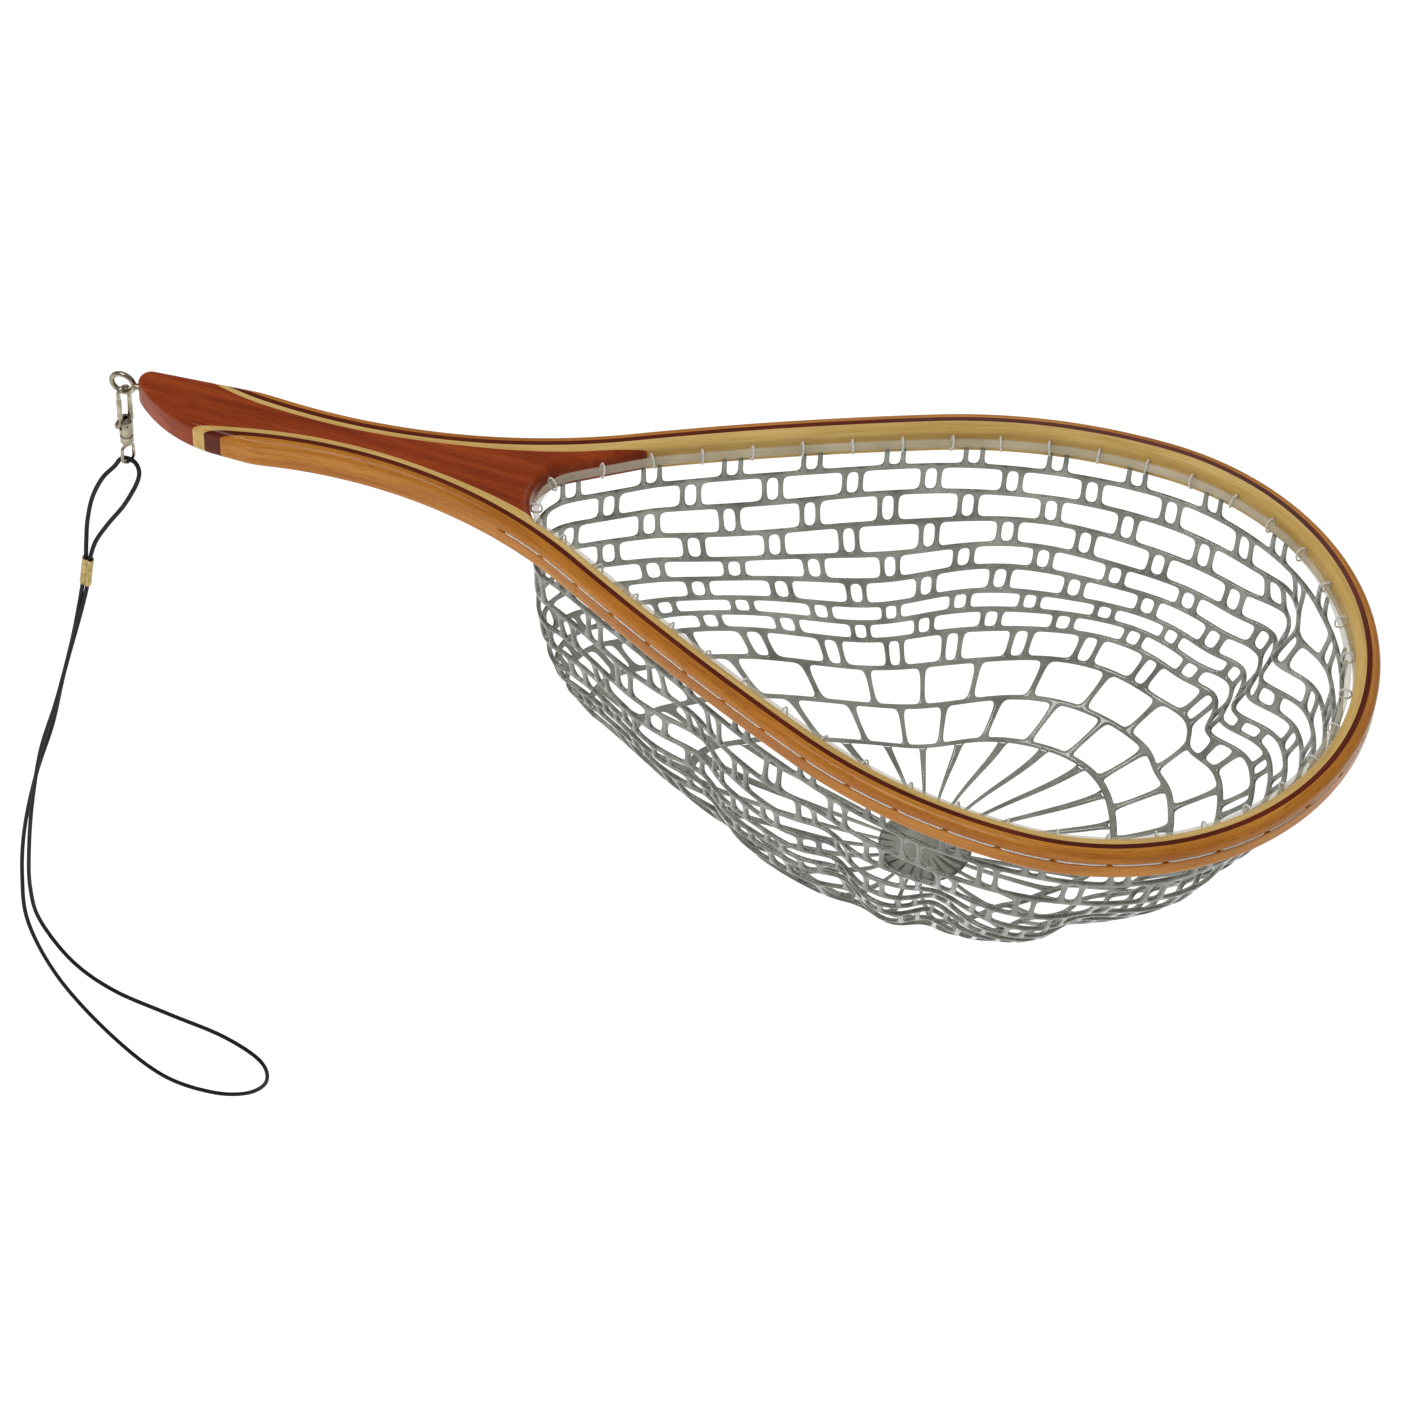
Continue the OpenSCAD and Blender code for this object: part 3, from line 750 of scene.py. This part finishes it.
def net_point(phi, t):
    """A point of the bag at fraction phi round the mouth and depth fraction t."""
    p = mouth_at(phi) - NET_C
    s = bag_scale(t, math.atan2(p[1], p[0]))
    a = 2 * math.pi * phi
    radius = (CIRCLE_R + CIRCLE_GROWTH * max(0.0, s - CIRCLE_AT)) * min(1, s / CIRCLE_AT)
    circle = np.array([math.cos(a), math.sin(a)]) * radius
    w = smooth_step(min(max((ROUND_BELOW - s) / ROUND_OVER, 0), 1))
    plan = p * s * (1 - w) + circle * w
    length = np.linalg.norm(plan)
    if length > 1e-6:
        plan = plan * max(0.05, 1 - fold(phi, t) * s / length)
    plan = plan + NET_C + t * t * BASE_SHIFT
    wave = 1.8 * math.sin(2 * math.pi * (4 * phi) + 5 * t) * min(1, 3 * t) * s
    return np.array([plan[0], plan[1], -0.5 - (BAG_DEPTH - 1.5) * t + wave])


# ---- Net strands ----

RINGS = [0.0, 0.085, 0.19, 0.295, 0.39, 0.465, 0.535, 0.585, 0.635, 0.71, 0.8, 0.88]
CELLS = 25
PAIRED_ROWS = 9
PAIR_GAP = 7.6
STRAND = 2.7
NET_THICK = 2.4
RING_STEP = 5.5
BASE_T = 0.996
# Half the mouth's width and the plan direction across it, by which the strands' spacing is measured
HALF_MOUTH = 110
ACROSS_ANGLE = 1.57


def depth_step(t, distance):
    """Change in t that moves a distance along the bag's profile at depth t."""
    s0, s1 = (bag_scale(v, ACROSS_ANGLE) for v in (t, min(t + 0.01, 1)))
    slope = math.hypot(BAG_DEPTH * 0.01, HALF_MOUTH * (s1 - s0)) / 0.01
    return distance / slope


def strut_rows():
    """Both edges of each strut, row by row, as fractions round the mouth: pairs above, single below."""
    rows = []
    for r, t in enumerate(RINGS):
        t_low = RINGS[r + 1] if r + 1 < len(RINGS) else 1.0
        length = MOUTH_LEN * max(0.15, bag_scale((t + t_low) / 2, ACROSS_ANGLE))
        shift = 0.5 if r % 2 else 0.0
        struts = []
        for c in range(CELLS):
            if r < PAIRED_ROWS:
                centre = (c + shift) / CELLS + rng.uniform(-0.0012, 0.0012)
                middles = [centre - PAIR_GAP / 2 / length, centre + PAIR_GAP / 2 / length]
            else:
                middles = [(c + shift) / CELLS + rng.uniform(-0.001, 0.001)]
            struts += [(m - STRAND / 2 / length, m + STRAND / 2 / length) for m in middles]
        rows.append(struts)
    return rows


def wrapped(phi):
    return round(phi % 1.0, 6) % 1.0


def ring_places(above, below):
    """Fractions round the mouth of a ring's points: each strut's edges, and points in long gaps."""
    edges = sorted({wrapped(e) for pair in above + below for e in pair})
    places = []
    for a, b in zip(edges, edges[1:] + [edges[0] + 1]):
        places.append(a)
        extra = int((b - a) * MOUTH_LEN // RING_STEP)
        places += [round((a + (b - a) * k / (extra + 1)) % 1.0, 6) for k in range(1, extra + 1)]
    return places


def net_mesh():
    """A lattice sheet of rings joined by struts, to be thickened and smoothed into strands."""
    index, verts, faces = {}, [], []

    def vertex(phi, t, tag):
        key = (wrapped(phi), tag)
        if key not in index:
            index[key] = len(verts)
            verts.append(net_point(phi, t))
        return index[key]

    rows = strut_rows()
    halves = [0.0] + [depth_step(t, STRAND / 2) for t in RINGS[1:]]
    for r in range(1, len(RINGS)):
        top, low = RINGS[r] - halves[r], RINGS[r] + halves[r]
        places = ring_places(rows[r - 1], rows[r])
        for a, b in zip(places, places[1:] + places[:1]):
            faces.append((vertex(a, top, (r, 0)), vertex(a, low, (r, 1)),
                          vertex(b, low, (r, 1)), vertex(b, top, (r, 0))))
    for r in range(len(RINGS)):
        top_t = RINGS[r] + halves[r]
        if r + 1 < len(RINGS):
            low_t, low_tag, steps = RINGS[r + 1] - halves[r + 1], (r + 1, 0), 2
        else:
            low_t, low_tag, steps = BASE_T, ("base", 0), 5
        for a, b in rows[r]:
            a, b = wrapped(a), wrapped(b)
            upper = (vertex(a, top_t, (r, 1)), vertex(b, top_t, (r, 1)))
            for k in range(1, steps + 1):
                t = top_t + (low_t - top_t) * k / steps
                tag = low_tag if k == steps else (r, "strut", k)
                lower = (vertex(a, t, tag), vertex(b, t, tag))
                faces.append((upper[0], lower[0], lower[1], upper[1]))
                upper = lower
    return verts, faces


net = make_object("rubber_net_strands", *net_mesh(), slot="clear_rubber", material=RUBBER, sharp=180)
thick = net.modifiers.new("thick", "SOLIDIFY")
thick.thickness = NET_THICK * MM
thick.offset = 0
thick.use_even_offset = False
smooth = net.modifiers.new("smooth", "SUBSURF")
smooth.levels = smooth.render_levels = 2

# ---- The net's top band and its solid base disc ----

BAND_Z = HOLE_Z - 0.3
BAND_HALF_W = 1.4
BAND_HALF_H = 2.1
BAND_SIDES = 12
BASE_Z = -155.6
BASE_SIDES = 64
# Radius and height of the disc's surface, from the middle of its top to the middle of its underside
BASE_PROFILE = [(0, 1.4), (8, 1.5), (15, 1.3), (19.5, 1.2), (21.5, 0.6), (22, 0), (21.5, -0.6),
                (19.5, -1.1), (15, -1.2), (8, -1.3), (0, -1.3)]


def net_band():
    """A rounded rectangle swept round the mouth."""
    def blunt(v):
        return math.copysign(abs(v) ** 0.6, v)

    outline, _ = mouth_outline(INNER_IN - BAND_GAP - 1.5)
    tangents = np.roll(outline, -1, 0) - np.roll(outline, 1, 0)
    tangents /= np.linalg.norm(tangents, axis=1)[:, None]
    normals = np.stack([tangents[:, 1], -tangents[:, 0]], -1)
    angles = [2 * math.pi * k / BAND_SIDES for k in range(BAND_SIDES)]
    verts = []
    for point, normal in zip(outline, normals):
        for a in angles:
            q = point + normal * (BAND_HALF_W * blunt(math.cos(a)))
            verts.append((q[0], q[1], BAND_Z + BAND_HALF_H * blunt(math.sin(a))))
    faces = ring_faces(len(outline), BAND_SIDES, closed=True)
    make_object("net_band", verts, faces, slot="clear_rubber", material=CLEAR_BAND, sharp=180)


def net_base():
    x, y = NET_C + BASE_SHIFT
    angles = [2 * math.pi * k / BASE_SIDES for k in range(BASE_SIDES)]
    verts = [(x + r * math.cos(a), y + r * math.sin(a), BASE_Z + z) for r, z in BASE_PROFILE for a in angles]
    faces = ring_faces(len(BASE_PROFILE), BASE_SIDES, flip=True)
    make_object("net_base", verts, faces, slot="clear_rubber", material=RUBBER, sharp=60)


net_band()
net_base()
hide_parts("rubber_net")

# ---- Lacing ----

PLY_R = 0.3
RUN_PITCH = 2.6
STITCH_PITCH = 2.2
RUN_DEPTH = 0.42
DIP_DEPTH = 2.4
DIP_WIDTH = 1.1
WALL_GAP = 0.65
WELL_R = 0.85
WELL_DEPTHS = (-1.6, -0.93)
WELL_SIDES = 16
# A stitch's path: distance outward from just inside the wall, and height over the band's middle
STITCH = [(0.6, -0.2), (0.0, 1.6), (-0.3, 2.9), (-1.6, 3.3), (-3.4, 3.1), (-4.6, 2.2), (-4.95, 0),
          (-4.6, -2.3), (-3.4, -3.1), (-1.6, -3.3), (-0.3, -2.7), (0.0, -1.4), (0.6, 0.2)]


def two_ply(pile, path, pitch):
    """Two strands twisted round each other along a path."""
    steps = np.linalg.norm(np.diff(path, axis=0), axis=1)
    s = np.concatenate([[0], np.cumsum(steps)])
    u = np.linspace(0, s[-1], max(8, int(s[-1] / 0.45)))
    fine = np.stack([np.interp(u, s, path[:, k]) for k in range(3)], -1)
    tangents = np.gradient(fine, axis=0)
    tangents /= np.linalg.norm(tangents, axis=1)[:, None]
    side = np.cross(tangents, np.array([0.0, 0.0, 1.0]))
    upright = np.linalg.norm(side, axis=1) < 0.3
    side[upright] = np.cross(tangents[upright], np.array([0.31, 0.95, 0]))
    side /= np.linalg.norm(side, axis=1)[:, None]
    up = np.cross(side, tangents)
    for k in (0, 1):
        a = 2 * math.pi * u / pitch + math.pi * k
        strand = fine + PLY_R * 0.92 * (np.cos(a)[:, None] * side + np.sin(a)[:, None] * up)
        pile.add(*tube_mesh(strand, PLY_R, 6))


def hole_s(i):
    """Arc length of lacing hole i."""
    return HOLE_PITCH / 2 + i * HOLE_PITCH


def wall_frame(side, i):
    """Where lacing hole i opens on the inside: its point and the wall's outward direction."""
    c = at(side, hole_s(i), 0)
    inward = at(side, hole_s(i), -1) - c
    if c[0] > MOUTH_FROM_X[side]:
        return c - inward * INNER_IN, -inward
    from_centre = c - THROAT_C
    run = polar(THROAT_A0)
    if c[0] > THROAT_C[0] - THROAT_R + 5:
        t = (THROAT_R - from_centre @ run) / (inward @ run)
        return c + inward * t, run
    b = from_centre @ inward
    t = -b - math.sqrt(b * b - from_centre @ from_centre + THROAT_R ** 2)
    q = from_centre + t * inward
    return c + inward * t, q / np.linalg.norm(q)


def groove_run(side):
    """The lacing along one half's groove, dipping into each hole."""
    s = np.arange(0, LAST_HOLE, 0.6)
    dip = np.zeros_like(s)
    for i in range(HOLES):
        dip += DIP_DEPTH * np.exp(-((s - hole_s(i)) / DIP_WIDTH) ** 2)
    plan = at(side, s, OUTER_OUT - RUN_DEPTH)
    inward = at(side, s, OUTER_OUT - RUN_DEPTH - 1) - plan
    plan = plan + inward * dip[:, None]
    return np.column_stack([plan, HOLE_Z + 0.048 * np.sin(s * 0.7)])


def stitch(side, i):
    """The lacing from hole i round the net's band and back."""
    p, outward = wall_frame(side, i)
    start = p - outward * WALL_GAP
    tangent = np.array([-outward[1], outward[0]])
    lean = rng.uniform(-0.6, 0.6)
    loop = []
    for out, z in STITCH:
        q = start + outward * out + tangent * (z / 3.2 * lean)
        loop.append((q[0], q[1], BAND_Z + z))
    loop = np.array(loop)
    t = np.linspace(0, len(loop) - 1, 80)
    path = np.stack([np.interp(t, np.arange(len(loop)), loop[:, k]) for k in range(3)], -1)
    for _ in range(4):
        path[1:-1] = 0.5 * path[1:-1] + 0.25 * (path[2:] + path[:-2])
    return path


def hole_shade_well(side, i):
    """Painted shade of a drilled hole: a dark well in the groove's floor."""
    c = at(side, hole_s(i), OUTER_OUT)
    outward = c - at(side, hole_s(i), OUTER_OUT - 1)
    across = np.array([-outward[1], outward[0]])
    verts = []
    for u in WELL_DEPTHS:
        for k in range(WELL_SIDES):
            a = 2 * math.pi * k / WELL_SIDES
            q = c + outward * u + across * WELL_R * 1.25 * math.cos(a)
            verts.append((q[0], q[1], HOLE_Z + WELL_R * math.sin(a)))
    return verts, ring_faces(2, WELL_SIDES) + end_caps(2, WELL_SIDES)


lacing = Pile()
hole_shades = Pile()
for side in (1, -1):
    two_ply(lacing, groove_run(side), RUN_PITCH)
    for i in range(HOLES):
        two_ply(lacing, stitch(side, i), STITCH_PITCH)
        hole_shades.add(*hole_shade_well(side, i))
lacing_obj = lacing.make("lacing_twine", slot="lacing", material=TWINE, sharp=180)
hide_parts("lacing_cord")
# The dark wells are painted shade in the lacing holes, tagged with the dark wood slot
hole_shades.make("lacing_holes", slot="dark_wood", material=HOLE_SHADE)

# ---- Hardware, carried over from the CAD ----

HARDWARE = {"screw_eye": NICKEL, "snap_body": NICKEL, "gate_lever": NICKEL, "swivel_ring": NICKEL,
            "gate_pin": STEEL, "gate_spring": STEEL, "ferrule": BRASS}
for name, material in HARDWARE.items():
    obj = nodes[name]
    obj.data.materials.clear()
    obj.data.materials.append(material)
    obj.data.shade_smooth()
    obj.data.set_sharp_from_angle(angle=math.radians(35))

# ---- Lanyard ----

CORD_R = 1.1
ROUTE = [
    (-132.6, -2, -136), (-131.2, -2, -126.5), (-130.2, -2, -115), (-128.6, -2, -100),
    (-125, -2, -83), (-119, -2, -68), (-112.2, -2, -57.5), (-108.6, -2, -51.2), (-105, -2, -49.5),
    (-101, -2, -51.5), (-99.6, -2, -57.5), (-102, -2, -67), (-109, -2, -83), (-117.5, -2, -98),
    (-125, -2, -113), (-128.9, -2, -126.5), (-130.2, -2, -136), (-131.5, -2, -146),
    (-137, -2, -170), (-145, -3.4, -203), (-154, -4, -240), (-165, -4, -280), (-173, -4, -325),
    (-178, -3.4, -365), (-181, -1, -400), (-178, 0.4, -428), (-161, 0, -455), (-138, 0, -470),
    (-106, -1, -475), (-74, -2, -479), (-53, -2, -491), (-50, -2, -508), (-62, -2, -524),
    (-84, -2, -533), (-112, -3, -529), (-141, -4, -504), (-168, -4, -468), (-183, -3.4, -428),
    (-185, -1, -392), (-181, 0, -352), (-171, 0, -305), (-159, 0, -262), (-151, 0, -225),
    (-142, -0.6, -186), (-134.2, -2, -147), (-132.9, -2, -137.5)]


def smooth_route(route, k):
    """A smooth curve through the route's points, with k steps between each two."""
    v = np.array(route, float)
    out = []
    for i in range(len(v) - 1):
        a, b, c, d = v[max(i - 1, 0)], v[i], v[i + 1], v[min(i + 2, len(v) - 1)]
        for j in range(k):
            u = j / k
            out.append(0.5 * (2 * b + (c - a) * u + (2 * a - 5 * b + 4 * c - d) * u ** 2
                              + (3 * b - a - 3 * c + d) * u ** 3))
    return np.array(out + [v[-1]])


points = smooth_route(ROUTE, 8) * MM
curve = bpy.data.curves.new("lanyard_elastic", "CURVE")
curve.dimensions = "3D"
curve.bevel_depth = CORD_R * MM
curve.bevel_resolution = 4
curve.use_fill_caps = True
spline = curve.splines.new("POLY")
spline.points.add(len(points) - 1)
spline.points.foreach_set("co", np.column_stack([points, np.ones(len(points))]).ravel())
spline.use_smooth = True
cord = bpy.data.objects.new("lanyard_elastic", curve)
bpy.context.scene.collection.objects.link(cord)
curve.materials.append(ELASTIC)
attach(cord, "lanyard")
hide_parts("lanyard_cord")

# ---- Floor and light, in metres ----

FLOOR_Z = -0.95
FLOOR_HALF = 9
FLOOR_GLOW = 0.6
SKY_STRENGTH = 0.34
KEY_POWER = 34
BACK_POWER = 8
WHITE = (1, 1, 1, 1)

floor_material, tree, shader = new_material("floor", (0.9, 0.9, 0.9), 0.9, Emission_Color=WHITE,
                                            Emission_Strength=FLOOR_GLOW)
corners = [(-FLOOR_HALF, -FLOOR_HALF), (FLOOR_HALF, -FLOOR_HALF), (FLOOR_HALF, FLOOR_HALF),
           (-FLOOR_HALF, FLOOR_HALF)]
mesh = bpy.data.meshes.new("floor")
mesh.from_pydata([(x, y, FLOOR_Z) for x, y in corners], [], [(0, 1, 2, 3)])
mesh.materials.append(floor_material)
floor = bpy.data.objects.new("floor", mesh)
bpy.context.scene.collection.objects.link(floor)

world = bpy.data.worlds.new("studio")
world.use_nodes = True
world.node_tree.nodes["Background"].inputs["Color"].default_value = WHITE
world.node_tree.nodes["Background"].inputs["Strength"].default_value = SKY_STRENGTH
bpy.context.scene.world = world
bpy.context.scene.view_settings.view_transform = "Standard"


def area_light(name, location, target, size, power):
    data = bpy.data.lights.new(name, "AREA")
    data.shape = "RECTANGLE"
    data.size, data.size_y = size
    data.energy = power
    obj = bpy.data.objects.new(name, data)
    obj.location = location
    obj.rotation_euler = (Vector(target) - Vector(location)).to_track_quat("-Z", "Y").to_euler()
    bpy.context.scene.collection.objects.link(obj)


area_light("key", (-0.6, -1.2, 2.4), (0.2, 0, 0), (1.6, 1.0), KEY_POWER)
area_light("back", (0.6, 2.0, 1.6), (0.2, 0, 0), (2.4, 0.7), BACK_POWER)

# ---- Camera, in metres and degrees ----

AZIMUTH = math.radians(15.97)
ELEVATION = math.radians(48.44)
ROLL = math.radians(3.63)
AIM = Vector((0.2158, -0.1041, 0.00825))
DISTANCE = 2.0
LENS = 117.1

level = Vector((math.cos(AZIMUTH), math.sin(AZIMUTH), 0))
back = Vector((math.sin(AZIMUTH) * math.cos(ELEVATION), -math.cos(AZIMUTH) * math.cos(ELEVATION),
               math.sin(ELEVATION)))
upright = back.cross(level)
right = math.cos(ROLL) * level + math.sin(ROLL) * upright
up = -math.sin(ROLL) * level + math.cos(ROLL) * upright
camera_data = bpy.data.cameras.new("camera")
camera_data.lens = LENS
camera_data.sensor_width = 36
camera_data.clip_end = 50
camera = bpy.data.objects.new("camera", camera_data)
place = AIM + DISTANCE * back
camera.matrix_world = Matrix.Translation(place) @ Matrix((right, up, back)).transposed().to_4x4()
bpy.context.scene.collection.objects.link(camera)
bpy.context.scene.camera = camera
